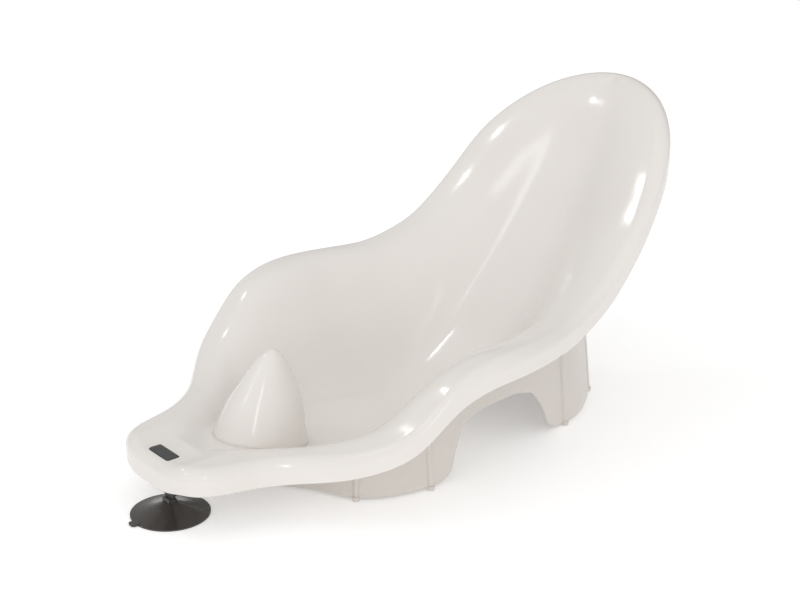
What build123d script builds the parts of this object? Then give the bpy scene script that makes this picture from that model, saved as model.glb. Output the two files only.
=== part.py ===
from build123d import *
import math
import os

# Reclining baby bath support: a moulded seat with a rolled rim, carried by a
# skirted stand, and held to the bath by one suction cup under its foot end.
# X runs from the foot end to the head end, Y to the left, Z up, in millimetres.
# The origin is on the floor, under the middle of the whole object.
# A size whose name ends in _FROM_TOE is measured along X from the foot end.

# Driving dimensions
SEAT_LENGTH = 560.0
SEAT_HALF_WIDTH = 174.0
SEAT_HEIGHT = 318.0
STAND_LENGTH = 383.0
STAND_HALF_WIDTH = 107.0
STAND_HEIGHT = 230.0
CUP_RADIUS = 34.5
CUP_FROM_TOE = 17.5

# Seat: wall, rolled rim and trough
SEAT_WALL = 3.0
RIM_ROLL = 11.0
RIM_DEPTH = 23.0
FAN_FRONT_FROM_TOE = 34.0
FAN_REAR_FROM_HEAD = 45.0
PAN_DISH = 7.0
TOE_DIP = 4.0
TOE_DIP_HALF_WIDTH = 42.0
TOE_DIP_LENGTH = 62.0
EDGE_ROUND_SHARE = 0.22
FOOT_ROUND_SHARE = 0.30
WALL_FLARE_SHARE = 0.17

# Pommel between the child's legs
POMMEL_FROM_TOE = 108.0
POMMEL_LEAN = 19.0
POMMEL_LENGTH = 90.0
POMMEL_WIDTH = 74.0
POMMEL_HEIGHT = 124.0
POMMEL_TIP_ROUND = 3.5

# Screws, the bosses that they go up into, and where the two pairs stand
SCREW_RADIUS = 2.0
SCREW_LENGTH = 12.0
SCREW_HEAD_RADIUS = 4.0
SCREW_HEAD_HEIGHT = 2.4
SCREW_HEAD_ROUND = 1.2
SCREW_TIP = 0.6
DRIVE_LENGTH = 4.4
DRIVE_WIDTH = 0.9
DRIVE_DEPTH = 1.3
BOSS_RADIUS = 5.0
BOSS_LENGTH = 14.0
BOSS_HOLE = 10.0
FRONT_SCREW_FROM_TOE = 178.0
FRONT_SCREW_Y = 58.0
REAR_SCREW_FROM_TOE = 400.0
REAR_SCREW_Y = 42.0

# Stand: skirt, ribs, feet, arches and screw ledges
STAND_FROM_TOE = 115.0
STAND_WALL = 3.0
STAND_LEAN = 24.0
STAND_GAP = 1.0
GROUND_GAP = 2.5
RIB_RADIUS = 2.6
NUB_RADIUS = 3.4
NUB_HEIGHT = 4.5
NUB_CHAMFER = 0.7
ARCH_FROM_TOE = 230.0
ARCH_LENGTH = 170.0
ARCH_HEIGHT = 53.0
LEDGE_WIDTH = 20.0
LEDGE_THICKNESS = 3.0
LEDGE_MARGIN = 7.0
LEDGE_ROUND = 4.0

# Hanger: the bar on top of the foot end, and the strap that goes down to the cup
BAR_FROM_TOE = 14.5
BAR_WIDTH = 31.0
BAR_LENGTH = 12.0
BAR_HEIGHT = 2.0
BAR_RECESS = 0.8
BAR_GAP = 0.4
BAR_CORNER = 2.0
BAR_EDGE = 0.5
STRAP_WIDTH = 27.0
STRAP_THICKNESS = 2.4
STRAP_TAPER_HEIGHT = 24.0
STRAP_NECK_HEIGHT = 16.0
SLOT_GAP = 0.4
KNUCKLE_WIDTH = 12.0
KNUCKLE_RADIUS = 2.4
KNUCKLE_HEIGHT = 12.0

# Suction cup
CUP_EDGE = 1.2
CUP_LIP = 1.0
CUP_SHOULDER_RADIUS = 15.0
CUP_SHOULDER_HEIGHT = 6.6
CUP_CROWN_RADIUS = 5.5
CUP_CROWN_HEIGHT = 11.5
CUP_HOLLOW = 4.4
CLIP_RADIUS = 4.2
CLIP_WIDTH = 11.0
CLIP_OPENING = 48.0
TAB_REACH = 5.0
TAB_WIDTH = 9.0
TAB_ROUND = 3.0
TAB_BOTTOM = 0.4
TAB_THICKNESS = 1.4

# Running clearance of the knuckle and the screws, and the overrun of cuts
RUNNING_GAP = 0.1
OVERRUN = 10.0

# How the seat is sampled
RIM_STATIONS = 30
TROUGH_STATIONS = 16
ROLL_STATIONS = 3
CROWDING = 1.5
FAN_SHARE = 0.3
GRID_COLUMNS = 36
GRID_LANES = 25
FACE_TOLERANCE = 0.05

# Where the ends lie, so that the whole object is centred on the origin
TOE_X = -(SEAT_LENGTH + CUP_FROM_TOE - CUP_RADIUS - TAB_REACH) / 2
STAND_X = TOE_X + STAND_FROM_TOE
CUP_X = TOE_X + CUP_FROM_TOE
BAR_X = TOE_X + BAR_FROM_TOE

# Plan outline of the seat: (share of the length, share of the half width)
OUTLINE_SHARES = (
    (-0.004, 0.000), (-0.004, 0.130), (0.016, 0.315), (0.098, 0.430), (0.197, 0.660),
    (0.275, 0.905), (0.368, 0.985), (0.480, 1.000), (0.590, 0.920), (0.692, 0.842),
    (0.780, 0.795), (0.857, 0.725), (0.935, 0.530), (0.985, 0.260), (1.000, 0.000),
)

# Height of the rim along the seat: (share of the length, share of the height)
RIM_SHARES = (
    (-0.05, 0.190), (0.00, 0.192), (0.10, 0.195), (0.195, 0.204), (0.275, 0.270),
    (0.368, 0.408), (0.430, 0.438), (0.480, 0.444), (0.590, 0.450), (0.692, 0.505),
    (0.780, 0.632), (0.857, 0.800), (0.945, 0.945), (1.00, 1.008), (1.05, 1.030),
)

# Height of the seat along its middle, below which nothing of the seat's face goes
FLOOR_SHARES = (
    (0.040, 0.192), (0.110, 0.172), (0.200, 0.137), (0.300, 0.098), (0.400, 0.082),
    (0.490, 0.082), (0.560, 0.110), (0.640, 0.215), (0.720, 0.370), (0.800, 0.545),
    (0.857, 0.693), (0.900, 0.809), (0.935, 0.912), (0.965, 0.969),
)

# Half width of the hollow at the rim, and of its floor: (length, half width, floor)
HOLLOW_SHARES = (
    (0.040, 0.000, 0.40), (0.100, 0.280, 0.50), (0.197, 0.500, 0.56), (0.275, 0.735, 0.58),
    (0.368, 0.825, 0.54), (0.480, 0.838, 0.48), (0.590, 0.760, 0.43), (0.692, 0.680, 0.39),
    (0.780, 0.630, 0.34), (0.857, 0.560, 0.30), (0.900, 0.470, 0.28), (0.935, 0.340, 0.26),
    (0.960, 0.000, 0.26),
)

# Pommel: (share of the height, of the lean, of the half length, of the half width)
POMMEL_SHARES = (
    (0.16, 0.00, 1.120, 1.050), (0.42, 0.16, 0.965, 0.970), (0.62, 0.45, 0.790, 0.785),
    (0.766, 0.66, 0.565, 0.565), (0.863, 0.80, 0.405, 0.405), (0.944, 0.92, 0.245, 0.245),
    (1.00, 1.00, 0.115, 0.120),
)

# Plan outline of the stand at the ground, and the points of it that carry ribs
STAND_SHARES = (
    (0.000, 0.000), (0.008, 0.206), (0.042, 0.384), (0.070, 0.575), (0.104, 0.768),
    (0.157, 0.907), (0.209, 0.965), (0.272, 1.000), (0.380, 0.950), (0.560, 0.862),
    (0.770, 0.760), (0.838, 0.692), (0.901, 0.551), (0.972, 0.327), (1.000, 0.000),
)
RIB_POINTS = (4, 7, 10, 13)

# Arch in the side of the stand: (share of the arch's length, of its height)
ARCH_SHARES = (
    (0.00, 0.046), (0.085, 0.130), (0.150, 0.500), (0.235, 0.860), (0.380, 0.985),
    (0.600, 1.000), (0.770, 0.900), (0.860, 0.560), (0.920, 0.150), (1.00, 0.046),
)

os.makedirs("parts", exist_ok=True)


def curve(x, places, values):
    """Value at x on a smooth curve through the places that never overshoots them."""
    if x <= places[0]:
        return values[0]
    if x >= places[-1]:
        return values[-1]
    steps = [b - a for a, b in zip(places, places[1:])]
    rises = [(b - a) / step for a, b, step in zip(values, values[1:], steps)]
    slopes = [rises[0]]
    for before, after in zip(rises, rises[1:]):
        slopes.append(0 if before * after <= 0 else 2 * before * after / (before + after))
    slopes.append(rises[-1])
    i = max(j for j, place in enumerate(places[:-1]) if place <= x)
    t = (x - places[i]) / steps[i]
    blend = t * t * (3 - 2 * t)
    bend = steps[i] * t * (1 - t) * (slopes[i] * (1 - t) - slopes[i + 1] * t)
    return values[i] + (values[i + 1] - values[i]) * blend + bend


def ramp(t, rounding):
    """Zero below zero and t above it, with the corner between them rounded."""
    if t <= -rounding:
        return 0
    if t >= rounding:
        return t
    u = (t + rounding) / (2 * rounding)
    return 2 * rounding * (u ** 3 - u ** 4 / 2)


def share_at(x):
    return (x - TOE_X) / SEAT_LENGTH


def column(rows, index):
    return [row[index] for row in rows]


def bell(t):
    """One in the middle, falling smoothly to zero at one either way."""
    return (1 - t ** 4) ** 2 if abs(t) < 1 else 0


def rim_height(x, y):
    share = curve(share_at(x), column(RIM_SHARES, 0), column(RIM_SHARES, 1))
    dip = TOE_DIP * bell(y / TOE_DIP_HALF_WIDTH) * bell((x - TOE_X) / TOE_DIP_LENGTH)
    return SEAT_HEIGHT * share - dip


def hollow_half_width(x):
    squares = [half ** 2 for half in column(HOLLOW_SHARES, 1)]
    return SEAT_HALF_WIDTH * math.sqrt(curve(share_at(x), column(HOLLOW_SHARES, 0), squares))


def seat_height(x, y):
    """Height of the seat's upper face: a level rim band around a trough."""
    rim = rim_height(x, y)
    middle = SEAT_HEIGHT * curve(share_at(x), column(FLOOR_SHARES, 0), column(FLOOR_SHARES, 1))
    half = hollow_half_width(x)
    across = abs(y) / half if half > 0 else 2
    if across >= 2 or middle >= rim:
        return rim
    floor_share = curve(share_at(x), column(HOLLOW_SHARES, 0), column(HOLLOW_SHARES, 2))
    wall = (1 - across) / (1 - floor_share)
    sunk = ramp(wall, EDGE_ROUND_SHARE) - ramp(wall - 1, FOOT_ROUND_SHARE)
    depth = rim - middle
    dish = min(PAN_DISH, depth / 2) * min(across, 1) ** 2
    sunk *= 1 - 4 * WALL_FLARE_SHARE * (1 - sunk)
    return rim - (depth - dish) * sunk


def seat_slope(x, y):
    """Rise of the seat's face along X and along Y."""
    step = SEAT_WALL / 2
    along = (seat_height(x + step, y) - seat_height(x - step, y)) / (2 * step)
    across = (seat_height(x, y + step) - seat_height(x, y - step)) / (2 * step)
    return along, across


def seat_under(x, y, depth):
    """Height of the surface that lies depth below the seat's face, measured square to it."""
    along, across = seat_slope(x, y)
    return seat_height(x, y) - depth * math.sqrt(1 + along ** 2 + across ** 2)


def space_above(depth):
    """The space above a copy of the seat's face that is sunk by depth."""
    low = TOE_X + SEAT_LENGTH * FLOOR_SHARES[0][0]
    high = TOE_X + SEAT_LENGTH * FLOOR_SHARES[-1][0]
    rows = []
    for i in range(GRID_COLUMNS + 1):
        x = low + (high - low) * i / GRID_COLUMNS
        ys = [STAND_HALF_WIDTH * (2 * j / GRID_LANES - 1) for j in range(GRID_LANES + 1)]
        rows.append([Vector(x, y, seat_under(x, y, depth)) for y in ys])
    face = Face.make_surface_from_array_of_points(rows, tol=FACE_TOLERANCE, min_deg=3, max_deg=3)
    return Solid.extrude(face, Vector(0, 0, 2 * SEAT_HEIGHT))


# Plan outline of the seat, as one closed curve from the middle of the foot end
left_side = [(TOE_X + SEAT_LENGTH * s, SEAT_HALF_WIDTH * w) for s, w in OUTLINE_SHARES]
right_side = [(x, -y) for x, y in left_side[-2:0:-1]]
with BuildLine() as outline:
    Spline(*left_side, *right_side, periodic=True)


def rim_station(i):
    """Rim point, inward direction, tilt of the band, and crest point of one station."""
    t = i / RIM_STATIONS
    point = outline.edge().position_at(t / 2)
    ahead = outline.edge().tangent_at(t / 2)
    inward = Vector(ahead.Y, -ahead.X, 0)
    if i in (0, RIM_STATIONS):
        point = Vector(point.X, 0, 0)
        inward = Vector(1 if i == 0 else -1, 0, 0)
    reach = RIM_ROLL
    for _ in range(4):
        crest = point + inward * reach
        outer = rim_height(crest.X - inward.X, crest.Y - inward.Y)
        inner = rim_height(crest.X + inward.X, crest.Y + inward.Y)
        tilt = math.atan((outer - inner) / 2)
        reach = RIM_ROLL * (1 + math.sin(tilt))
    return point, inward, tilt, point + inward * reach


def skin_points(i, depth):
    """One section of the seat's skin, from its middle line over the rim to the flange."""
    point, inward, tilt, crest = rim_station(i)
    share = FAN_SHARE * i / RIM_STATIONS + (1 - FAN_SHARE) * share_at(point.X)
    fan_length = SEAT_LENGTH - FAN_FRONT_FROM_TOE - FAN_REAR_FROM_HEAD
    fan = Vector(TOE_X + FAN_FRONT_FROM_TOE + fan_length * share, 0, 0)
    points = []
    for j in range(TROUGH_STATIONS + 1):
        place = fan + (crest - fan) * (1 - (1 - j / TROUGH_STATIONS) ** CROWDING)
        along, across = seat_slope(place.X, place.Y)
        if j == 0 or i in (0, RIM_STATIONS):
            across = 0
        square = Vector(-along, -across, 1).normalized()
        if j == TROUGH_STATIONS:
            square = Vector(0, 0, math.cos(tilt)) + inward * math.sin(tilt)
        face = Vector(place.X, place.Y, seat_height(place.X, place.Y))
        points.append(face - square * depth)
    hub = point + inward * RIM_ROLL
    hub = Vector(hub.X, hub.Y, rim_height(crest.X, crest.Y) - RIM_ROLL * math.cos(tilt))
    for j in range(1, ROLL_STATIONS + 1):
        angle = -tilt + (math.pi / 2 + tilt) * j / ROLL_STATIONS
        square = Vector(0, 0, math.cos(angle)) - inward * math.sin(angle)
        points.append(hub + square * (RIM_ROLL - depth))
    edge = points[-1]
    for j in (1, 2):
        points.append(edge - Vector(0, 0, (RIM_DEPTH - RIM_ROLL) * j / 2))
    return points


def seat_skin(depth):
    """Half of the seat's face, or of the surface that lies depth below it."""
    sections = []
    for i in range(RIM_STATIONS + 1):
        with BuildLine() as section:
            Spline(*skin_points(i, depth))
        sections.append(section.wire())
    return Shell.make_loft(sections).face()


def widest_edge(face):
    return face.edges().sort_by(lambda edge: edge.bounding_box().size.Y)[-1]


# Seat: two skins closed along the flange, then the same on the other side
face_skin = seat_skin(0)
back_skin = seat_skin(SEAT_WALL)
flange_strip = Face.make_surface_from_curves(widest_edge(face_skin), widest_edge(back_skin))
half_faces = [face_skin, back_skin, flange_strip]
seat_body = Solid(Shell(half_faces + [face.mirror(Plane.XZ) for face in half_faces]))


def pommel_plane(row):
    lean = POMMEL_FROM_TOE + POMMEL_LEAN * row[1]
    return Plane.XY.offset(POMMEL_HEIGHT * row[0]).move(Location((TOE_X + lean, 0, 0)))


# Pommel, from the middle of the seat's wall up, and the hollow under it
with BuildPart() as pommel:
    for row in POMMEL_SHARES:
        with BuildSketch(pommel_plane(row)):
            Ellipse(POMMEL_LENGTH / 2 * row[2], POMMEL_WIDTH / 2 * row[3])
    loft()
    fillet(pommel.edges().sort_by(Axis.Z)[-1], POMMEL_TIP_ROUND)
    add(space_above(SEAT_WALL / 2), mode=Mode.INTERSECT)

with BuildPart() as pommel_hollow:
    for row in POMMEL_SHARES[:-1]:
        with BuildSketch(pommel_plane(row)):
            half_length = POMMEL_LENGTH / 2 * row[2] - SEAT_WALL
            Ellipse(half_length, POMMEL_WIDTH / 2 * row[3] - SEAT_WALL)
    loft()

# Screws: the place of each, with the height at which its boss meets its ledge
screw_places = []
for from_toe, y in ((FRONT_SCREW_FROM_TOE, FRONT_SCREW_Y), (REAR_SCREW_FROM_TOE, REAR_SCREW_Y)):
    foot = seat_under(TOE_X + from_toe, y, SEAT_WALL) - BOSS_LENGTH
    screw_places.append((TOE_X + from_toe, y, foot))
    screw_places.append((TOE_X + from_toe, -y, foot))

upright = (Align.CENTER, Align.CENTER, Align.MIN)
with BuildPart() as bosses:
    with Locations(*screw_places):
        Cylinder(BOSS_RADIUS, SEAT_HEIGHT, align=upright)
        Cylinder(SCREW_RADIUS + RUNNING_GAP, BOSS_HOLE, align=upright, mode=Mode.SUBTRACT)
    add(space_above(SEAT_WALL / 2), mode=Mode.SUBTRACT)

# Seat shell: body, pommel and bosses, with the bar's recess and the strap's slot
recess_floor = seat_height(BAR_X, 0) - BAR_RECESS
with BuildPart() as toe_cut:
    with BuildSketch(Plane.XY.offset(recess_floor)):
        with Locations((BAR_X, 0)):
            RectangleRounded(BAR_LENGTH + 2 * BAR_GAP, BAR_WIDTH + 2 * BAR_GAP, BAR_CORNER)
    extrude(amount=OVERRUN)
    with BuildSketch(Plane.XY.offset(recess_floor - OVERRUN)):
        with Locations((CUP_X, 0)):
            Rectangle(STRAP_THICKNESS + 2 * SLOT_GAP, STRAP_WIDTH + 2 * SLOT_GAP)
    extrude(amount=2 * OVERRUN)

with BuildPart() as seat_shell:
    add(seat_body)
    add([pommel.part, bosses.part])
    add([pommel_hollow.part, toe_cut.part], mode=Mode.SUBTRACT)
seat_shell.part.label = "seat_shell"


def stand_points(inset):
    """The stand's outline moved inwards, as points all the way round."""
    side = [(STAND_X + STAND_LENGTH * s, STAND_HALF_WIDTH * w) for s, w in STAND_SHARES]
    loop = side + [(x, -y) for x, y in side[-2:0:-1]]
    points = []
    for k, (x, y) in enumerate(loop):
        before, after = loop[k - 1], loop[(k + 1) % len(loop)]
        ahead = Vector(after[0] - before[0], after[1] - before[1], 0).normalized()
        points.append((x + ahead.Y * inset, y - ahead.X * inset))
    return points


def stand_block(inset, rib_radius):
    """Solid block inside the stand's leaning outline, with half-round ribs if they have a radius."""
    with BuildPart() as block:
        for height in (GROUND_GAP, STAND_HEIGHT):
            lean = STAND_LEAN * height / STAND_HEIGHT
            with BuildSketch(Plane.XY.offset(height)):
                with BuildLine():
                    Spline(*stand_points(inset + lean), periodic=True)
                make_face()
                if rib_radius > 0:
                    with Locations(*[stand_points(lean)[k] for k in rib_places]):
                        Circle(rib_radius)
        loft(ruled=True)
    return block.part


rib_places = list(RIB_POINTS) + [2 * (len(STAND_SHARES) - 1) - k for k in RIB_POINTS]
outer_block = stand_block(0, RIB_RADIUS)

# Ledges inside the skirt, one under each boss
with BuildPart() as ledges:
    for x, y, foot in screw_places:
        side = 1 if y > 0 else -1
        with BuildSketch(Plane.XY.offset(foot - LEDGE_THICKNESS)):
            with Locations((x, side * (abs(y) - LEDGE_MARGIN + STAND_HALF_WIDTH / 2))):
                Rectangle(LEDGE_WIDTH, STAND_HALF_WIDTH)
        extrude(amount=LEDGE_THICKNESS)
    with Locations(*screw_places):
        Cylinder(SCREW_RADIUS + RUNNING_GAP, OVERRUN, mode=Mode.SUBTRACT)
    add(outer_block, mode=Mode.INTERSECT)

# Nubs under the ribs, on which the whole object stands
with BuildPart() as nubs:
    with Locations(*[stand_points(0)[k] for k in rib_places]):
        Cylinder(NUB_RADIUS, NUB_HEIGHT, align=upright)
    chamfer(nubs.edges().group_by(Axis.Z)[0], NUB_CHAMFER)

# Stand: leaning skirt with ledges, ribs and nubs, arches, and the seat's underside
with BuildPart() as stand:
    add(outer_block)
    add(stand_block(STAND_WALL, 0), mode=Mode.SUBTRACT)
    with BuildSketch(Plane.XZ):
        with BuildLine():
            arch = [(TOE_X + ARCH_FROM_TOE + ARCH_LENGTH * s, ARCH_HEIGHT * h) for s, h in ARCH_SHARES]
            Spline(*arch)
            Polyline(arch[0], (arch[0][0], -OVERRUN), (arch[-1][0], -OVERRUN), arch[-1])
        make_face()
    extrude(amount=2 * STAND_HALF_WIDTH, both=True, mode=Mode.SUBTRACT)
    add(ledges)
    add(space_above(SEAT_WALL + STAND_GAP), mode=Mode.SUBTRACT)
    add(nubs)
stand.part.label = "stand"

# Screws: pan heads under the ledges, shanks up into the bosses
with BuildPart() as screw:
    with BuildSketch():
        Circle(SCREW_HEAD_RADIUS)
    extrude(amount=-SCREW_HEAD_HEIGHT)
    fillet(screw.edges().sort_by(Axis.Z)[0], SCREW_HEAD_ROUND)
    with BuildSketch():
        Circle(SCREW_RADIUS)
    extrude(amount=SCREW_LENGTH)
    chamfer(screw.edges().sort_by(Axis.Z)[-1], SCREW_TIP)
    with BuildSketch(Plane.XY.offset(-SCREW_HEAD_HEIGHT)):
        Rectangle(DRIVE_LENGTH, DRIVE_WIDTH)
        Rectangle(DRIVE_WIDTH, DRIVE_LENGTH)
    extrude(amount=DRIVE_DEPTH, mode=Mode.SUBTRACT)

with BuildPart() as stand_screws:
    with Locations(*[(x, y, foot - LEDGE_THICKNESS) for x, y, foot in screw_places]):
        add(screw)
stand_screws.part.label = "stand_screws"

# Hanger: bar, tapering strap, and the knuckle at the strap's lower end
with BuildPart() as cup_hanger:
    with BuildSketch(Plane.XY.offset(recess_floor)):
        with Locations((BAR_X, 0)):
            RectangleRounded(BAR_LENGTH, BAR_WIDTH, BAR_CORNER)
    extrude(amount=BAR_HEIGHT)
    chamfer(cup_hanger.faces().sort_by(Axis.Z)[-1].edges(), BAR_EDGE)
    with BuildSketch(Plane.YZ.offset(CUP_X - STRAP_THICKNESS / 2)):
        with BuildLine():
            wide, narrow = STRAP_WIDTH / 2, KNUCKLE_WIDTH / 2
            Polyline((-wide, recess_floor), (wide, recess_floor), (wide, STRAP_TAPER_HEIGHT),
                     (narrow, STRAP_NECK_HEIGHT), (narrow, KNUCKLE_HEIGHT),
                     (-narrow, KNUCKLE_HEIGHT), (-narrow, STRAP_NECK_HEIGHT),
                     (-wide, STRAP_TAPER_HEIGHT), close=True)
        make_face()
    extrude(amount=STRAP_THICKNESS)
    with Locations((CUP_X, 0, KNUCKLE_HEIGHT)):
        Cylinder(KNUCKLE_RADIUS, KNUCKLE_WIDTH, rotation=(90, 0, 0))
cup_hanger.part.label = "cup_hanger"

# Suction cup: thin dome with a crown, a snap clip for the knuckle, and a pull tab
cup_plane = Plane(origin=(CUP_X, 0, 0), x_dir=(1, 0, 0), z_dir=(0, -1, 0))
with BuildPart() as suction_cup:
    with BuildSketch(cup_plane):
        with BuildLine():
            slope = (CUP_SHOULDER_HEIGHT - CUP_EDGE) / (CUP_RADIUS - CUP_SHOULDER_RADIUS)
            Polyline((0, CUP_HOLLOW), (0, CUP_CROWN_HEIGHT), (CUP_CROWN_RADIUS, CUP_CROWN_HEIGHT))
            Spline((CUP_CROWN_RADIUS, CUP_CROWN_HEIGHT), (CUP_SHOULDER_RADIUS, CUP_SHOULDER_HEIGHT),
                   (CUP_RADIUS, CUP_EDGE))
            Polyline((CUP_RADIUS, CUP_EDGE), (CUP_RADIUS, 0), (CUP_RADIUS - CUP_LIP, 0))
            Spline((CUP_RADIUS - CUP_LIP, 0), (0, CUP_HOLLOW), tangents=((-1, slope), (-1, 0)))
        make_face()
    revolve(axis=Axis((CUP_X, 0, 0), (0, 0, 1)))
    with BuildSketch(Plane.XY.offset(TAB_BOTTOM)):
        with Locations((CUP_X - CUP_RADIUS, 0)):
            RectangleRounded(2 * TAB_REACH, TAB_WIDTH, TAB_ROUND)
    extrude(amount=TAB_THICKNESS)
    with Locations((CUP_X, 0, KNUCKLE_HEIGHT)):
        Cylinder(CLIP_RADIUS, CLIP_WIDTH, rotation=(90, 0, 0))
        Box(2 * CLIP_RADIUS, CLIP_WIDTH, KNUCKLE_HEIGHT - CUP_SHOULDER_HEIGHT,
            align=(Align.CENTER, Align.CENTER, Align.MAX))
        Cylinder(KNUCKLE_RADIUS + RUNNING_GAP, KNUCKLE_WIDTH, rotation=(90, 0, 0), mode=Mode.SUBTRACT)
    with BuildSketch(cup_plane):
        with BuildLine():
            spread = OVERRUN * math.tan(math.radians(CLIP_OPENING))
            top = KNUCKLE_HEIGHT + OVERRUN
            Polyline((0, KNUCKLE_HEIGHT), (spread, top), (-spread, top), close=True)
        make_face()
    extrude(amount=KNUCKLE_WIDTH, both=True, mode=Mode.SUBTRACT)
suction_cup.part.label = "suction_cup"

for piece in (seat_shell, stand, stand_screws, cup_hanger, suction_cup):
    export_step(piece.part, f"parts/{piece.part.label}.step")
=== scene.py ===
import math

import bmesh
import bpy
import numpy as np
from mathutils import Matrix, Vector


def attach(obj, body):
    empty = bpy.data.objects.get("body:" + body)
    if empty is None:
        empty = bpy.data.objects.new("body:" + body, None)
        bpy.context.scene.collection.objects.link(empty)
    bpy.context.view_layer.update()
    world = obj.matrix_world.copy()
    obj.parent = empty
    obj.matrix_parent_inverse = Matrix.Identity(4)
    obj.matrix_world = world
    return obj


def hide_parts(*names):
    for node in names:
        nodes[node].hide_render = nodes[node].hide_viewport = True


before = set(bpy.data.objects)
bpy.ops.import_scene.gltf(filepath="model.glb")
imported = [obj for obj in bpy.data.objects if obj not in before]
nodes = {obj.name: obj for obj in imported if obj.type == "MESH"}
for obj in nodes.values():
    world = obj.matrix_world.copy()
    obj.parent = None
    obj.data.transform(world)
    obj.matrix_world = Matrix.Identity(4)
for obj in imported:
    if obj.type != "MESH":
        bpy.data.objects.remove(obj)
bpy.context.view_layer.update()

# Reclining baby bath support: the seat and the stand are modelled anew with finer surfaces,
# and the hanger, the cup and the screws keep the solid model's shapes.
# X runs from the foot end to the head end, Y to the left, Z up. Sizes are in millimetres, as
# in the solid model, and one whose name ends in _FROM_TOE is measured from the foot end.
MM = 0.001
TINY = 1e-6
NO_POINTS = np.zeros((0, 3))

# Seat: wall, rolled rim and trough
SEAT_LENGTH = 560.0
SEAT_HALF_WIDTH = 174.0
SEAT_HEIGHT = 318.0
SEAT_WALL = 3.0
RIM_ROLL = 11.0
RIM_DEPTH = 23.0
FAN_FRONT_FROM_TOE = 34.0
FAN_REAR_FROM_HEAD = 45.0
FAN_SHARE = 0.3
PAN_DISH = 7.0
TOE_DIP = 4.0
TOE_DIP_HALF_WIDTH = 42.0
TOE_DIP_LENGTH = 62.0
EDGE_ROUND_SHARE = 0.22
FOOT_ROUND_SHARE = 0.30
WALL_FLARE_SHARE = 0.17

# Pommel between the child's legs
POMMEL_FROM_TOE = 108.0
POMMEL_LEAN = 19.0
POMMEL_HALF_LENGTH = 45.0
POMMEL_HALF_WIDTH = 37.0
POMMEL_HEIGHT = 124.0
POMMEL_SINK = 0.4
HOLLOW_SCALE = 0.93
HOLLOW_SINK = 2.6
HOLLOW_ROOF_START = 60.0
HOLLOW_CUT_LEVELS = np.arange(26.0, 97.0, 4.0)

# Posts under the seat, and where the two pairs of screws stand: (from the foot end, Y)
BOSS_RADIUS = 5.0
BOSS_LENGTH = 14.0
BOSS_CHAMFER = 0.4
BOSS_HOLE = 10.0
THREAD_RADIUS = 1.9
SCREW_PLACES = ((178.0, 58.0), (400.0, 42.0))

# Stand: skirt, ribs, arches and screw ledges
STAND_FROM_TOE = 115.0
STAND_LENGTH = 383.0
STAND_HALF_WIDTH = 107.0
STAND_HEIGHT = 230.0
STAND_LEAN = 24.0
STAND_WALL = 3.0
STAND_GAP = 1.0
STAND_EDGE_ROUND = 1.2
GROUND_GAP = 2.5
RIB_RADIUS = 2.6
ARCH_FROM_TOE = 230.0
ARCH_LENGTH = 170.0
ARCH_HEIGHT = 53.0
LEDGE_HALF_WIDTH = 10.0
LEDGE_THICKNESS = 3.0
LEDGE_MARGIN = 7.0
LEDGE_HOLE_RADIUS = 2.1

# Hanger and cup, as far as the seat makes room for them
BAR_FROM_TOE = 14.5
BAR_LENGTH = 12.0
BAR_WIDTH = 31.0
BAR_CORNER = 2.0
BAR_RECESS = 0.8
STRAP_THICKNESS = 2.4
STRAP_WIDTH = 27.0
SLOT_CORNER = 0.3
HANGER_GAP = 0.4
CUP_FROM_TOE = 17.5
CUP_RADIUS = 34.5
TAB_REACH = 5.0
CUT_OVERRUN = 10.0

# How the seat's curves are evened out: length sampled beyond both ends, reach, and spreads
SPARE = 60.0
KERNEL = 30
RIM_SPREAD = 7.0
FLOOR_SPREAD = 5.0
WIDTH_SPREAD = 3.0

# How the surfaces are sampled
STATIONS = 384
TROUGH_STEPS = 56
CROWDING = 1.25
ROLL_STEPS = 10
FLANGE_DROPS = (0.3, 0.6, 0.85)
SKIN_STEP = 0.6
UNDERSIDE_STEP = 1.5
POMMEL_TURNS = 128
POMMEL_STEPS = 40
POST_TURNS = 48
LEDGE_TURNS = 72
CORNER_STEPS = 6
OUTLINE_SAMPLES = 20000
PLAIN_SPACING = 3.0
RIB_SPACING = 0.35
RIB_REACH = 3.6
ARCH_SPACING = 1.5
STEEPEST = 4.0
SKIRT_STEPS = 20
WIDE_WELD = 5e-6
FINE_WELD = 2e-6
SHARP_ANGLE = math.radians(38)

# First guesses of heights that are found by going round, and how many rounds each takes
FIRST_FOOT = 45.0
FIRST_TOP = 60.0
CREST_ROUNDS = 5
FOOT_ROUNDS = 12
TOP_ROUNDS = 40

# Where the foot end lies, so that the whole object is centred on the origin
TOE_X = -(SEAT_LENGTH + CUP_FROM_TOE - CUP_RADIUS - TAB_REACH) / 2

# Plan outline of the seat: (share of the length, share of the half width)
OUTLINE_SHARES = np.array([
    (-0.004, 0.000), (-0.004, 0.130), (0.016, 0.315), (0.098, 0.430), (0.197, 0.660),
    (0.275, 0.905), (0.368, 0.985), (0.480, 1.000), (0.590, 0.920), (0.692, 0.842),
    (0.780, 0.795), (0.857, 0.725), (0.935, 0.530), (0.985, 0.260), (1.000, 0.000),
])

# Height of the rim along the seat: (share of the length, share of the height)
RIM_SHARES = np.array([
    (-0.05, 0.190), (0.00, 0.192), (0.10, 0.195), (0.195, 0.204), (0.275, 0.270),
    (0.368, 0.408), (0.430, 0.438), (0.480, 0.444), (0.590, 0.450), (0.692, 0.505),
    (0.780, 0.632), (0.857, 0.800), (0.945, 0.945), (1.00, 1.008), (1.05, 1.030),
])

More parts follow.
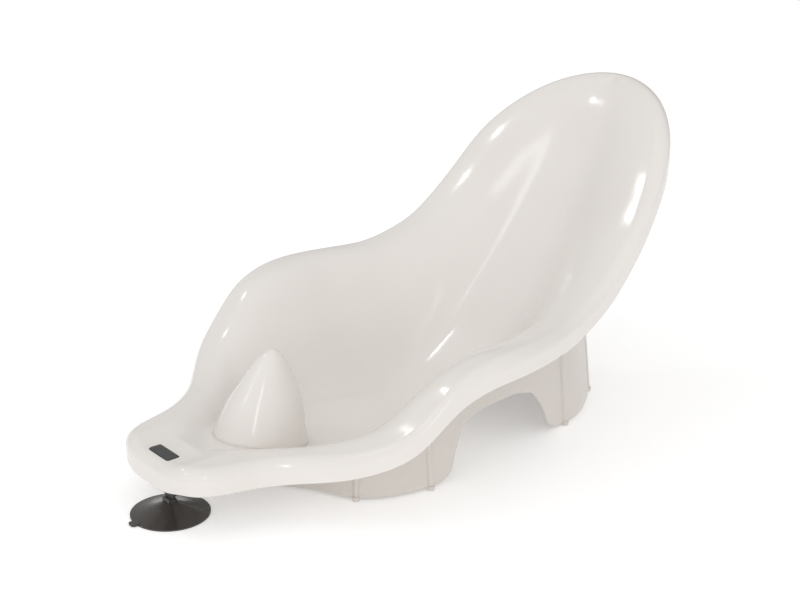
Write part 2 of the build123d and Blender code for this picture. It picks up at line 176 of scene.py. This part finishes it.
# Height of the seat along its middle
FLOOR_SHARES = np.array([
    (0.040, 0.192), (0.110, 0.172), (0.200, 0.137), (0.300, 0.098), (0.400, 0.082),
    (0.490, 0.082), (0.560, 0.110), (0.640, 0.215), (0.720, 0.370), (0.800, 0.545),
    (0.857, 0.693), (0.900, 0.809), (0.935, 0.912), (0.965, 0.969),
])

# Hollow of the seat: (share of the length, of the half width, part of the hollow that is floor)
HOLLOW_SHARES = np.array([
    (0.040, 0.000, 0.40), (0.100, 0.280, 0.50), (0.197, 0.500, 0.56), (0.275, 0.735, 0.58),
    (0.368, 0.825, 0.54), (0.480, 0.838, 0.48), (0.590, 0.760, 0.43), (0.692, 0.680, 0.39),
    (0.780, 0.630, 0.34), (0.857, 0.560, 0.30), (0.900, 0.470, 0.28), (0.935, 0.340, 0.26),
    (0.960, 0.000, 0.26),
])

# Pommel: (share of the height, of the lean, of the half length, of the half width)
POMMEL_SHARES = np.array([
    (0.16, 0.00, 1.120, 1.050), (0.42, 0.16, 0.965, 0.970), (0.62, 0.45, 0.790, 0.785),
    (0.766, 0.66, 0.565, 0.565), (0.863, 0.80, 0.405, 0.405), (0.944, 0.92, 0.245, 0.245),
    (0.985, 0.98, 0.12, 0.12), (1.0, 1.00, 0.0, 0.0),
])

# Plan outline of the stand at the ground, and the points of it that carry ribs
STAND_SHARES = np.array([
    (0.000, 0.000), (0.008, 0.206), (0.042, 0.384), (0.070, 0.575), (0.104, 0.768),
    (0.157, 0.907), (0.209, 0.965), (0.272, 1.000), (0.380, 0.950), (0.560, 0.862),
    (0.770, 0.760), (0.838, 0.692), (0.901, 0.551), (0.972, 0.327), (1.000, 0.000),
])
RIB_POINTS = (4, 7, 10, 13)

# Arch in the side of the stand: (share of the arch's length, of its height)
ARCH_SHARES = np.array([
    (0.00, 0.046), (0.085, 0.130), (0.150, 0.500), (0.235, 0.860), (0.380, 0.985),
    (0.600, 1.000), (0.770, 0.900), (0.860, 0.560), (0.920, 0.150), (1.00, 0.046),
])

# Nub under a rib: (radius, height)
NUB_PROFILE = (
    (0.0, 0.0), (2.5, 0.0), (2.9, 0.1), (3.3, 0.5), (3.4, 0.9), (3.4, 3.9), (3.2, 4.3),
    (2.8, 4.5), (0.0, 4.6),
)


def monotone(x, places, values):
    """Smooth curve through the places that never overshoots them."""
    steps = np.diff(places)
    rises = np.diff(values) / steps
    slopes = np.empty(len(places))
    slopes[0], slopes[-1] = rises[0], rises[-1]
    same = rises[:-1] * rises[1:] > 0
    total = np.where(same, rises[:-1] + rises[1:], 1)
    slopes[1:-1] = np.where(same, 2 * rises[:-1] * rises[1:] / total, 0)
    x = np.clip(x, places[0], places[-1])
    i = np.clip(np.searchsorted(places, x, side="right") - 1, 0, len(steps) - 1)
    t = (x - places[i]) / steps[i]
    bend = steps[i] * t * (1 - t) * (slopes[i] * (1 - t) - slopes[i + 1] * t)
    return values[i] + (values[i + 1] - values[i]) * t * t * (3 - 2 * t) + bend


def smoothed(places, values, spread):
    """The same curve sampled every millimetre and evened out, as a function of X."""
    x = np.arange(-SPARE, SEAT_LENGTH + SPARE + 0.5, 1.0)
    y = np.pad(monotone(x / SEAT_LENGTH, places, values), KERNEL, mode="edge")
    weights = np.exp(-(np.arange(-KERNEL, KERNEL + 1) / spread) ** 2 / 2)
    y = np.convolve(y, weights / weights.sum(), mode="valid")
    return lambda at: np.interp(at - TOE_X, x, y)


rim_curve = smoothed(RIM_SHARES[:, 0], SEAT_HEIGHT * RIM_SHARES[:, 1], RIM_SPREAD)
floor_curve = smoothed(FLOOR_SHARES[:, 0], SEAT_HEIGHT * FLOOR_SHARES[:, 1], FLOOR_SPREAD)
square_width_curve = smoothed(HOLLOW_SHARES[:, 0], HOLLOW_SHARES[:, 1] ** 2, WIDTH_SPREAD)
floor_share_curve = smoothed(HOLLOW_SHARES[:, 0], HOLLOW_SHARES[:, 2], RIM_SPREAD)


def ramp(t, rounding):
    """Zero below zero and t above it, with the corner between them rounded."""
    u = np.clip((t + rounding) / (2 * rounding), 0, 1)
    return np.where(t >= rounding, t, 2 * rounding * (u ** 3 - u ** 4 / 2))


def bell(t):
    """One in the middle, falling smoothly to zero at one either way."""
    return np.where(np.abs(t) < 1, (1 - t ** 4) ** 2, 0)


def rim_height(x, y):
    dip = TOE_DIP * bell(y / TOE_DIP_HALF_WIDTH) * bell((x - TOE_X) / TOE_DIP_LENGTH)
    return rim_curve(x) - dip


def seat_height(x, y):
    """Height of the seat's upper face: a level rim band around a trough."""
    rim = rim_height(x, y)
    middle = np.minimum(floor_curve(x), rim)
    half = SEAT_HALF_WIDTH * np.sqrt(np.maximum(square_width_curve(x), TINY))
    across = np.abs(y) / half
    wall = (1 - across) / (1 - floor_share_curve(x))
    sunk = ramp(wall, EDGE_ROUND_SHARE) - ramp(wall - 1, FOOT_ROUND_SHARE)
    sunk = np.where(across < 2, sunk, 0)
    sunk = sunk * (1 - 4 * WALL_FLARE_SHARE * (1 - sunk))
    depth = rim - middle
    dish = np.minimum(PAN_DISH, depth / 2) * np.minimum(across, 1) ** 2
    return rim - (depth - dish) * sunk


def seat_slope(x, y, step):
    """Rise of the seat's face along X and along Y."""
    along = (seat_height(x + step, y) - seat_height(x - step, y)) / (2 * step)
    across = (seat_height(x, y + step) - seat_height(x, y - step)) / (2 * step)
    return along, across


def under_seat(x, y, depth):
    """Height of the surface that lies depth below the seat's face, measured square to it."""
    along, across = seat_slope(x, y, UNDERSIDE_STEP)
    return seat_height(x, y) - depth * np.sqrt(1 + along ** 2 + across ** 2)


def plan_side(shares, start, length, half_width):
    """Points along one side of an outline that is given in shares."""
    return [(start + length * s, half_width * w) for s, w in shares]


def closed_spline(side):
    """Twice smooth closed curve through one side's points and their mirror images.

    The curve gives the position and the direction at a share of its length.
    """
    points = np.array(side + [(x, -y) for x, y in side[-2:0:-1]])
    count = len(points)
    chords = np.linalg.norm(np.roll(points, -1, 0) - points, axis=1)
    before = np.roll(chords, 1)
    slopes = (np.roll(points, -1, 0) - points) / chords[:, None]
    matrix = np.zeros((count, count))
    for k in range(count):
        matrix[k, k - 1] = before[k]
        matrix[k, k] = 2 * (before[k] + chords[k])
        matrix[k, (k + 1) % count] = chords[k]
    bends = np.linalg.solve(matrix, 6 * (slopes - np.roll(slopes, 1, 0)))
    knots = np.concatenate([[0], np.cumsum(chords)])

    def at(share):
        length = np.mod(share, 1.0) * knots[-1]
        i = np.clip(np.searchsorted(knots, length, side="right") - 1, 0, count - 1)
        j = (i + 1) % count
        chord = chords[i][:, None]
        done = (length - knots[i])[:, None]
        left = chord - done
        first = points[i] / chord - bends[i] * chord / 6
        second = points[j] / chord - bends[j] * chord / 6
        place = (bends[i] * left ** 3 + bends[j] * done ** 3) / (6 * chord)
        place = place + first * left + second * done
        ahead = (-bends[i] * left ** 2 + bends[j] * done ** 2) / (2 * chord) - first + second
        return place, ahead / np.linalg.norm(ahead, axis=1)[:, None]
    return at


def inwards(ahead):
    """Directions into the outline, square to its directions ahead."""
    return np.column_stack([ahead[:, 1], -ahead[:, 0]])


def full_turn(count, start=0.0):
    """Angles all the way round, the first of them a share of a step from zero."""
    return (np.arange(count) + start) / count * 2 * math.pi


def circle(x, y, radius, turns):
    return np.column_stack([x + radius * np.cos(turns), y + radius * np.sin(turns)])


def level(flat, z):
    """Points of a flat outline, all at one height."""
    return np.column_stack([flat, np.full(len(flat), z)])


def mesh_object(name, verts, faces, weld_distance):
    """Smooth-shaded object whose points are welded where they meet."""
    mesh = bpy.data.meshes.new(name)
    mesh.from_pydata([tuple(v) for v in verts * MM], [], faces)
    mesh.validate()
    welded = bmesh.new()
    welded.from_mesh(mesh)
    bmesh.ops.remove_doubles(welded, verts=welded.verts, dist=weld_distance)
    bmesh.ops.recalc_face_normals(welded, faces=welded.faces)
    welded.to_mesh(mesh)
    welded.free()
    mesh.shade_smooth()
    obj = bpy.data.objects.new(name, mesh)
    bpy.context.scene.collection.objects.link(obj)
    return obj


def grid_faces(rows, columns, wrap_rows=False, wrap_columns=False, start=0):
    """Faces between neighbours in a grid of points that are numbered row by row."""
    faces = []
    for i in range(rows if wrap_rows else rows - 1):
        here = start + i * columns
        there = start + (i + 1) % rows * columns
        for j in range(columns if wrap_columns else columns - 1):
            k = (j + 1) % columns
            faces.append((here + j, there + j, there + k, here + k))
    return faces


def add_rings(verts, faces, rings, wrap_rows=False):
    """The points and faces, with those of a surface through rings of points added."""
    more = grid_faces(len(rings), len(rings[0]), wrap_rows, wrap_columns=True, start=len(verts))
    return np.vstack([verts] + rings), faces + more


# Seat shell: sections from the middle line out over the rim, down the flange and back below
outline = closed_spline(plan_side(OUTLINE_SHARES, TOE_X, SEAT_LENGTH, SEAT_HALF_WIDTH))
shares = np.arange(STATIONS) / STATIONS
rim_points, ahead = outline(shares)
inward = inwards(ahead)
for k, way in ((0, 1.0), (STATIONS // 2, -1.0)):
    rim_points[k, 1] = 0
    inward[k] = (way, 0)
reach = np.full(STATIONS, RIM_ROLL)
for _ in range(CREST_ROUNDS):
    crest = rim_points + inward * reach[:, None]
    outer = rim_height(crest[:, 0] - inward[:, 0], crest[:, 1] - inward[:, 1])
    inner = rim_height(crest[:, 0] + inward[:, 0], crest[:, 1] + inward[:, 1])
    tilt = np.arctan((outer - inner) / 2)
    reach = RIM_ROLL * (1 + np.sin(tilt))
crest = rim_points + inward * reach[:, None]
hub_z = rim_height(crest[:, 0], crest[:, 1]) - RIM_ROLL * np.cos(tilt)
flange_z = hub_z - (RIM_DEPTH - RIM_ROLL)

# Where each section starts on the middle line
turn_share = np.minimum(shares, 1 - shares) * 2
length_share = (rim_points[:, 0] - TOE_X) / SEAT_LENGTH
fan_length = SEAT_LENGTH - FAN_FRONT_FROM_TOE - FAN_REAR_FROM_HEAD
fan_share = FAN_SHARE * turn_share + (1 - FAN_SHARE) * length_share
fan = TOE_X + FAN_FRONT_FROM_TOE + fan_length * fan_share


def skin_rows(depth):
    """Rows at a depth below the face, from the middle line out over the rim."""
    rows = []
    for share in 1 - (1 - np.arange(TROUGH_STEPS + 1) / TROUGH_STEPS) ** CROWDING:
        x = fan + (crest[:, 0] - fan) * share
        y = crest[:, 1] * share
        along, across = seat_slope(x, y, SKIN_STEP)
        if share == 0:
            across = across * 0
        scale = np.sqrt(1 + along ** 2 + across ** 2)
        z = seat_height(x, y) - depth / scale
        rows.append(np.column_stack([x + depth * along / scale, y + depth * across / scale, z]))
    for share in np.arange(1, ROLL_STEPS + 1) / ROLL_STEPS:
        angle = -tilt + (math.pi / 2 + tilt) * share
        out = (RIM_ROLL - depth) * np.sin(angle)
        flat = rim_points + inward * (RIM_ROLL - out)[:, None]
        rows.append(np.column_stack([flat, hub_z + (RIM_ROLL - depth) * np.cos(angle)]))
    return rows


def flange_rows(inset, drops):
    """Rows along one face of the flange, at shares of its height."""
    flat = rim_points + inward * inset
    return [np.column_stack([flat, hub_z + (flange_z - hub_z) * drop]) for drop in drops]


def edge_rows():
    """Rows round the flange's lower edge, from its outer face to its inner face."""
    radius = SEAT_WALL / 2
    rows = []
    for angle in np.radians(np.arange(0, 181, 30)):
        flat = rim_points + inward * (radius - radius * np.cos(angle))
        rows.append(np.column_stack([flat, flange_z + radius - radius * np.sin(angle)]))
    return rows


outside = skin_rows(0.0) + flange_rows(0.0, FLANGE_DROPS)
inside = flange_rows(SEAT_WALL, FLANGE_DROPS[::-1]) + skin_rows(SEAT_WALL)[::-1]
profile = outside + edge_rows() + inside
verts = np.stack(profile, 1).reshape(-1, 3)
seat = mesh_object("seat", verts, grid_faces(STATIONS, len(profile), wrap_rows=True), WIDE_WELD)

# Pommel: rounded hollow cone that leans back, its foot following the seat's floor
pommel_turns = full_turn(POMMEL_TURNS)
pommel_levels = POMMEL_HEIGHT * POMMEL_SHARES[:, 0]
pommel_roof = POMMEL_HEIGHT - SEAT_WALL


def pommel_centre(z):
    lean = POMMEL_LEAN * np.interp(z, pommel_levels, POMMEL_SHARES[:, 1])
    return TOE_X + POMMEL_FROM_TOE + lean


def pommel_half(z, half, column):
    """Half length or half width at a height, from the column that holds its shares."""
    squares = monotone(z, pommel_levels, POMMEL_SHARES[:, column] ** 2)
    return half * np.sqrt(np.maximum(squares, 0))


def pommel_ring(z):
    """Outline of the pommel at a height."""
    half_length = pommel_half(z, POMMEL_HALF_LENGTH, 2)
    half_width = pommel_half(z, POMMEL_HALF_WIDTH, 3)
    x = pommel_centre(z) + half_length * np.cos(pommel_turns)
    return np.column_stack([x, half_width * np.sin(pommel_turns)])


def hollow_ring(z):
    """Outline of the space inside the pommel at a height, with a wall left above it."""
    share = (z - HOLLOW_ROOF_START) / (pommel_roof - HOLLOW_ROOF_START)
    outer_z = z + SEAT_WALL * np.clip(share, 0, 1)
    centre = np.column_stack([pommel_centre(outer_z), np.zeros(POMMEL_TURNS)])
    return centre + (pommel_ring(outer_z) - centre) * HOLLOW_SCALE


def dome_rows(ring, sink, top, rises):
    """Rings between a foot sunk below the seat's face and the top, at shares of the height."""
    foot = np.full(POMMEL_TURNS, FIRST_FOOT)
    for _ in range(FOOT_ROUNDS):
        x, y = ring(foot).T
        foot = seat_height(x, y) - sink
    heights = [foot + (top - foot) * rise for rise in rises]
    return [np.column_stack([ring(z), z]) for z in heights]


rises = np.sin(np.arange(0, POMMEL_STEPS + 1) / POMMEL_STEPS * math.pi / 2)
profile = dome_rows(pommel_ring, POMMEL_SINK, POMMEL_HEIGHT, rises)
profile += dome_rows(hollow_ring, HOLLOW_SINK, pommel_roof, rises[::-1])
verts, faces = add_rings(NO_POINTS, [], profile, wrap_rows=True)
pommel = mesh_object("pommel", verts, faces, WIDE_WELD)


# Cuts in the seat: recess of the bar, slot of the strap, and the space inside the pommel
def stacked(name, rings):
    """Closed body through rings of points, one above the other."""
    verts, faces = add_rings(NO_POINTS, [], rings)
    steps = len(rings[0])
    faces += [tuple(range(steps))[::-1], tuple(range(len(verts) - steps, len(verts)))]
    return mesh_object(name, verts, faces, FINE_WELD)


def rounded_rectangle(centre_x, length, width, corner):
    points = []
    for k, (side_x, side_y) in enumerate(((1, 1), (-1, 1), (-1, -1), (1, -1))):
        for t in range(CORNER_STEPS + 1):
            turn = (k + t / CORNER_STEPS) * math.pi / 2
            x = centre_x + side_x * (length / 2 - corner) + corner * math.cos(turn)
            y = side_y * (width / 2 - corner) + corner * math.sin(turn)
            points.append((x, y))
    return np.array(points)


def cut(obj, body):
    """Takes the space of a closed body out of the piece, for good, and removes the body."""
    modifier = obj.modifiers.new("cut", "BOOLEAN")
    modifier.operation = "DIFFERENCE"
    modifier.solver = "EXACT"
    modifier.object = body
    evaluated = obj.evaluated_get(bpy.context.evaluated_depsgraph_get())
    done = bpy.data.meshes.new_from_object(evaluated)
    obj.modifiers.clear()
    obj.data = done
    bpy.data.objects.remove(body)


recess_x = TOE_X + BAR_FROM_TOE
recess_z = float(seat_height(recess_x, 0.0)) - BAR_RECESS
recess = rounded_rectangle(recess_x, BAR_LENGTH + 2 * HANGER_GAP, BAR_WIDTH + 2 * HANGER_GAP, BAR_CORNER)
cut(seat, stacked("bar_recess", [level(recess, recess_z), level(recess, recess_z + CUT_OVERRUN)]))

slot = rounded_rectangle(
    TOE_X + CUP_FROM_TOE, STRAP_THICKNESS + 2 * HANGER_GAP, STRAP_WIDTH + 2 * HANGER_GAP, SLOT_CORNER)
slot_ends = (recess_z - CUT_OVERRUN, recess_z + CUT_OVERRUN)
cut(seat, stacked("strap_slot", [level(slot, z) for z in slot_ends]))

space = [level(hollow_ring(np.full(POMMEL_TURNS, z)), z) for z in HOLLOW_CUT_LEVELS]
cut(seat, stacked("pommel_space", space))
seat.data.shade_smooth()
seat.data.set_sharp_from_angle(angle=SHARP_ANGLE)

for piece in (seat, pommel):
    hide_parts("seat_shell")
    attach(piece, "support")

# Posts under the seat that the stand's screws bite into
screw_spots = []
for from_toe, y in SCREW_PLACES:
    foot = float(under_seat(TOE_X + from_toe, y, SEAT_WALL)) - BOSS_LENGTH
    screw_spots += [(TOE_X + from_toe, y, foot), (TOE_X + from_toe, -y, foot)]


def post_rings(x, y, foot):
    """Rings from inside the seat's wall down the post, and up its blind hole."""
    turns = full_turn(POST_TURNS)
    rings = []
    for radius in (0.0, BOSS_RADIUS):
        flat = circle(x, y, radius, turns)
        rings.append(np.column_stack([flat, under_seat(flat[:, 0], flat[:, 1], SEAT_WALL / 2)]))
    for radius, rise in ((BOSS_RADIUS, BOSS_CHAMFER), (BOSS_RADIUS - BOSS_CHAMFER, 0.0),
                         (THREAD_RADIUS, 0.0), (THREAD_RADIUS, BOSS_HOLE), (0.0, BOSS_HOLE)):
        rings.append(level(circle(x, y, radius, turns), foot + rise))
    return rings


verts, faces = NO_POINTS, []
for spot in screw_spots:
    verts, faces = add_rings(verts, faces, post_rings(*spot))
posts = mesh_object("seat_posts", verts, faces, FINE_WELD)
posts.data.set_sharp_from_angle(angle=SHARP_ANGLE)
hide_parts("seat_shell")
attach(posts, "support")

# Stand: leaning skirt whose lower edge follows the arches and whose top follows the seat
stand_side = plan_side(STAND_SHARES, TOE_X + STAND_FROM_TOE, STAND_LENGTH, STAND_HALF_WIDTH)
stand_outline = closed_spline(stand_side)
sample_shares = np.arange(OUTLINE_SAMPLES) / OUTLINE_SAMPLES
samples, _ = stand_outline(sample_shares)
perimeter = np.linalg.norm(np.diff(samples, axis=0), axis=1).sum()
rib_spots = [(stand_side[k][0], side * stand_side[k][1]) for side in (1, -1) for k in RIB_POINTS]
rib_shares = [sample_shares[np.argmin(np.hypot(*(samples - spot).T))] for spot in rib_spots]


def run_between(start, end):
    """Distance along the outline from one share to another, the short way round."""
    return ((end - start + 0.5) % 1 - 0.5) * perimeter


def arch_bottom(share):
    """Height of the skirt's lower edge at a share of the outline."""
    places, _ = stand_outline(share)
    t = (places[:, 0] - (TOE_X + ARCH_FROM_TOE)) / ARCH_LENGTH
    rise = ARCH_HEIGHT * monotone(t, ARCH_SHARES[:, 0], ARCH_SHARES[:, 1])
    return np.where((t > 0) & (t < 1), np.maximum(rise, GROUND_GAP), GROUND_GAP)


def wall_stations():
    """Shares of the outline that get a column of points, closer together at ribs and arches."""
    density = np.full(OUTLINE_SAMPLES, 1 / PLAIN_SPACING)
    for share in rib_shares:
        near = np.abs(run_between(share, sample_shares)) < RIB_REACH
        density = np.maximum(density, np.where(near, 1 / RIB_SPACING, 0))
    steep = np.abs(np.gradient(arch_bottom(sample_shares), perimeter / OUTLINE_SAMPLES))
    density = np.maximum(density, np.minimum(steep, STEEPEST) / ARCH_SPACING)
    count = int(density.sum() * perimeter / OUTLINE_SAMPLES)
    marks = np.cumsum(density) / density.sum()
    return np.interp(np.arange(count) / count, marks, sample_shares)


def wall_point(share, z, offset, ribs):
    """Points of the stand's wall at shares of the outline, at heights and an offset inwards."""
    place, ahead = stand_outline(share)
    proud = 0
    if ribs:
        for rib_share in rib_shares:
            away = run_between(rib_share, share)
            proud = np.maximum(proud, np.sqrt(np.maximum(RIB_RADIUS ** 2 - away ** 2, 0)))
    lean = z * (STAND_LEAN / STAND_HEIGHT)
    return np.column_stack([place + inwards(ahead) * (lean + offset - proud)[:, None], z])


def wall_top(share, offset, ribs):
    """Height at which the wall meets the gap under the seat."""
    z = np.full(len(share), FIRST_TOP)
    for _ in range(TOP_ROUNDS):
        x, y, _ = wall_point(share, z, offset, ribs).T
        z = 0.5 * z + 0.5 * np.minimum(under_seat(x, y, SEAT_WALL + STAND_GAP), STAND_HEIGHT)
    return z


# Lower edge of the skirt, and the direction square to it in the wall
spots = wall_stations()
low = arch_bottom(spots)
run = run_between(np.roll(spots, 1), np.roll(spots, -1))
climb = np.roll(low, -1) - np.roll(low, 1)
norm = np.hypot(run, climb)
side_way, up_way = -climb / norm / perimeter, run / norm


def skirt_rows(offset, inner):
    """Rows from the skirt's rounded lower edge up one face of its wall."""
    top = wall_top(spots, offset, not inner)
    rows = []
    for angle in np.radians((90, 60, 30, 0)):
        rise = STAND_EDGE_ROUND * (1 - math.sin(angle))
        depth = STAND_EDGE_ROUND * (1 - math.cos(angle)) * (-1 if inner else 1)
        rows.append(wall_point(spots + side_way * rise, low + up_way * rise, offset + depth, not inner))
    for share in np.arange(1, SKIRT_STEPS + 1) / SKIRT_STEPS:
        place = spots + side_way * STAND_EDGE_ROUND * (1 - share)
        z = (low + up_way * STAND_EDGE_ROUND) * (1 - share) + top * share
        rows.append(wall_point(place, z, offset, not inner))
    return rows


def ledge_rings(x, y, top):
    """Rings of a plate with a round hole, from inboard of the screw to inside the skirt's wall."""
    near = (samples[:, 1] * y > 0) & (np.abs(samples[:, 0] - x) < LEDGE_HALF_WIDTH)
    wall = wall_point(sample_shares[near], np.full(near.sum(), top), STAND_WALL / 2, False)
    out = np.abs(wall[:, 1]).min() - abs(y)
    turns = full_turn(LEDGE_TURNS, 0.5) * (1 if y > 0 else -1)
    cosine, sine = np.cos(turns), np.sin(turns)
    reach = np.where(sine * y > 0, out, LEDGE_MARGIN) / np.maximum(np.abs(sine), TINY)
    reach = np.minimum(LEDGE_HALF_WIDTH / np.maximum(np.abs(cosine), TINY), reach)
    hole = circle(x, y, LEDGE_HOLE_RADIUS, turns)
    edge = circle(x, y, reach, turns)
    bottom = top - LEDGE_THICKNESS
    return [level(hole, bottom), level(edge, bottom), level(edge, top), level(hole, top)]


profile = skirt_rows(0.0, False) + skirt_rows(STAND_WALL, True)[::-1]
verts = np.stack(profile, 1).reshape(-1, 3)
faces = grid_faces(len(spots), len(profile), wrap_rows=True, wrap_columns=True)
nub_turns = full_turn(POST_TURNS)
for x, y in rib_spots:
    rings = [level(circle(x, y, radius, nub_turns), z) for radius, z in NUB_PROFILE]
    verts, faces = add_rings(verts, faces, rings)
for spot in screw_spots:
    verts, faces = add_rings(verts, faces, ledge_rings(*spot), wrap_rows=True)
stand = mesh_object("stand_body", verts, faces, WIDE_WELD)
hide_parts("stand")
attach(stand, "support")


# Materials, and the places of the colour sockets on a mix node
FIRST_COLOUR = 6
SECOND_COLOUR = 7
MIXED_COLOUR = 2


def set_inputs(node, values):
    for key, value in values.items():
        node.inputs[key].default_value = value


def new_material(name):
    mat = bpy.data.materials.new(name)
    mat.use_nodes = True
    return mat, mat.node_tree, mat.node_tree.nodes["Principled BSDF"]


def add_noise(tree, scale, detail, roughness=0.5):
    place = tree.nodes.new("ShaderNodeTexCoord")
    noise = tree.nodes.new("ShaderNodeTexNoise")
    set_inputs(noise, {"Scale": scale, "Detail": detail, "Roughness": roughness})
    tree.links.new(place.outputs["Object"], noise.inputs["Vector"])
    return noise.outputs["Fac"]


def add_map(tree, value, start, end, low, high):
    """Changes a value from low to high while it goes from start to end."""
    node = tree.nodes.new("ShaderNodeMapRange")
    set_inputs(node, {"From Min": start, "From Max": end, "To Min": low, "To Max": high})
    tree.links.new(value, node.inputs["Value"])
    return node


def add_mix(tree, factor, first, second):
    node = tree.nodes.new("ShaderNodeMix")
    node.data_type = "RGBA"
    tree.links.new(factor, node.inputs["Factor"])
    node.inputs[FIRST_COLOUR].default_value = (*first, 1)
    node.inputs[SECOND_COLOUR].default_value = (*second, 1)
    return node.outputs[MIXED_COLOUR]


def add_bump(tree, bsdf, value, strength, distance):
    node = tree.nodes.new("ShaderNodeBump")
    set_inputs(node, {"Strength": strength, "Distance": distance})
    tree.links.new(value, node.inputs["Height"])
    tree.links.new(node.outputs["Normal"], bsdf.inputs["Normal"])


def finish(name, light, dark, rough, spread, bump=0.02, distance=0.0003, waves=60.0, metallic=0.0):
    """Surface of two close tones, with a roughness that varies by the spread and a fine grain."""
    mat, tree, bsdf = new_material(name)
    set_inputs(bsdf, {"IOR": 1.5, "Metallic": metallic})
    patches = add_noise(tree, scale=9.0, detail=3.0)
    tone = add_map(tree, patches, start=0.35, end=0.65, low=0, high=1).outputs["Result"]
    tree.links.new(add_mix(tree, tone, light, dark), bsdf.inputs["Base Color"])
    grain = add_noise(tree, scale=140.0, detail=5.0, roughness=0.6)
    gloss = add_map(tree, grain, start=0.3, end=0.7, low=rough - spread, high=rough + spread)
    tree.links.new(gloss.outputs["Result"], bsdf.inputs["Roughness"])
    add_bump(tree, bsdf, add_noise(tree, scale=waves, detail=2.0), bump, distance)
    return mat


seat_mat = finish("seat plastic", (0.80, 0.764, 0.726), (0.78, 0.743, 0.704), 0.14, 0.03)
# Stand: darker, pinker tones than the seat's. This is partly the moulding's own tone and partly painted
# shade from under the seat's overhanging rim
stand_tone_and_shade_mat = finish("stand plastic with painted shade", (0.705, 0.660, 0.618), (0.685, 0.640, 0.598), 0.37, 0.05)
hanger_mat = finish("hanger plastic", (0.030, 0.031, 0.034), (0.046, 0.046, 0.048), 0.42, 0.08,
                    bump=0.55, distance=0.0006, waves=260.0)
rubber_mat = finish("cup rubber", (0.034, 0.031, 0.029), (0.050, 0.044, 0.040), 0.21, 0.03,
                    bump=0.10, distance=0.0002, waves=300.0)
screw_mat = finish("screw steel", (0.55, 0.55, 0.56), (0.48, 0.48, 0.50), 0.38, 0.06,
                   bump=0.2, distance=0.0001, waves=1500.0, metallic=1.0)

for piece in (seat, pommel, posts):
    piece.data.materials.append(seat_mat)
stand.data.materials.append(stand_tone_and_shade_mat)
for name, mat in (("cup_hanger", hanger_mat), ("suction_cup", rubber_mat), ("stand_screws", screw_mat)):
    nodes[name].data.materials.clear()
    nodes[name].data.materials.append(mat)

# Floor, in metres: pale and faintly glowing, so that it stays white around the soft shadows
FLOOR_SIZE = 120.0
FLOOR_DROP = 0.0002
FLOOR_TONE = 0.93
FLOOR_GLOW = 0.27
bpy.ops.mesh.primitive_plane_add(size=FLOOR_SIZE, location=(0, 0, -FLOOR_DROP))
floor = bpy.context.object
floor.name = "floor"
floor_mat, _, floor_bsdf = new_material("floor")
set_inputs(floor_bsdf, {
    "Base Color": (FLOOR_TONE, FLOOR_TONE, FLOOR_TONE, 1), "Roughness": 0.6,
    "Specular IOR Level": 0.2, "Emission Color": (1, 1, 1, 1), "Emission Strength": FLOOR_GLOW,
})
floor.data.materials.append(floor_mat)


# Light: three area lamps, at the left, beyond the foot end and at the right
def place_object(name, data, position, target):
    """Puts a lamp or a camera at a position, in metres, and turns it to a target."""
    obj = bpy.data.objects.new(name, data)
    obj.location = position
    obj.rotation_euler = (Vector(target) - Vector(position)).to_track_quat("-Z", "Y").to_euler()
    bpy.context.scene.collection.objects.link(obj)
    return obj


def add_area(name, position, target, size, power):
    light = bpy.data.lights.new(name, "AREA")
    light.shape = "RECTANGLE"
    light.size, light.size_y = size
    light.energy = power
    place_object(name, light, position, target)


add_area("key", (-0.68, 1.28, 1.55), (0.0, 0.0, 0.15), size=(0.12, 0.12), power=1.6)
add_area("window", (-1.95, 0.42, 2.00), (0.2, 0.0, 0.2), size=(0.30, 0.55), power=1.6)
add_area("front", (-1.30, -1.58, 1.30), (0.0, 0.0, 0.1), size=(0.11, 1.0), power=3.2)

# Surroundings: white, brightest high up toward the foot end and the right, so that light falls
# into the pan, with a darker part beyond the head end on the left that gives the rim its edge
world = bpy.data.worlds.new("world")
world.use_nodes = True
sky = world.node_tree


def add_side(direction, start, end, low, high):
    """Strength that changes from low to high as a ray turns toward a direction."""
    place = sky.nodes.new("ShaderNodeTexCoord")
    toward = sky.nodes.new("ShaderNodeVectorMath")
    toward.operation = "DOT_PRODUCT"
    toward.inputs[1].default_value = direction
    sky.links.new(place.outputs["Generated"], toward.inputs[0])
    shade = add_map(sky, toward.outputs["Value"], start, end, low, high)
    shade.interpolation_type = "SMOOTHSTEP"
    return shade.outputs["Result"]


both = sky.nodes.new("ShaderNodeMath")
both.operation = "MULTIPLY"
bright_side = add_side((-0.40, -0.50, 0.77), 0.0, 1.0, 0.62, 1.00)
dark_side = add_side((0.906, 0.423, 0.0), 0.72, 0.97, 1.0, 0.28)
sky.links.new(bright_side, both.inputs[0])
sky.links.new(dark_side, both.inputs[1])
sky.links.new(both.outputs["Value"], sky.nodes["Background"].inputs["Strength"])
sky.nodes["Background"].inputs["Color"].default_value = (1, 1, 1, 1)
bpy.context.scene.world = world
bpy.context.scene.view_settings.view_transform = "Standard"

# Camera, in metres and lens millimetres
CAMERA_POSITION = (-0.8440, -1.0522, 0.6209)
CAMERA_TARGET = (0.02375, 0.02814, 0.11712)
camera_data = bpy.data.cameras.new("camera")
camera_data.lens = 69.81
camera_data.sensor_width = 36.0
bpy.context.scene.camera = place_object("camera", camera_data, CAMERA_POSITION, CAMERA_TARGET)
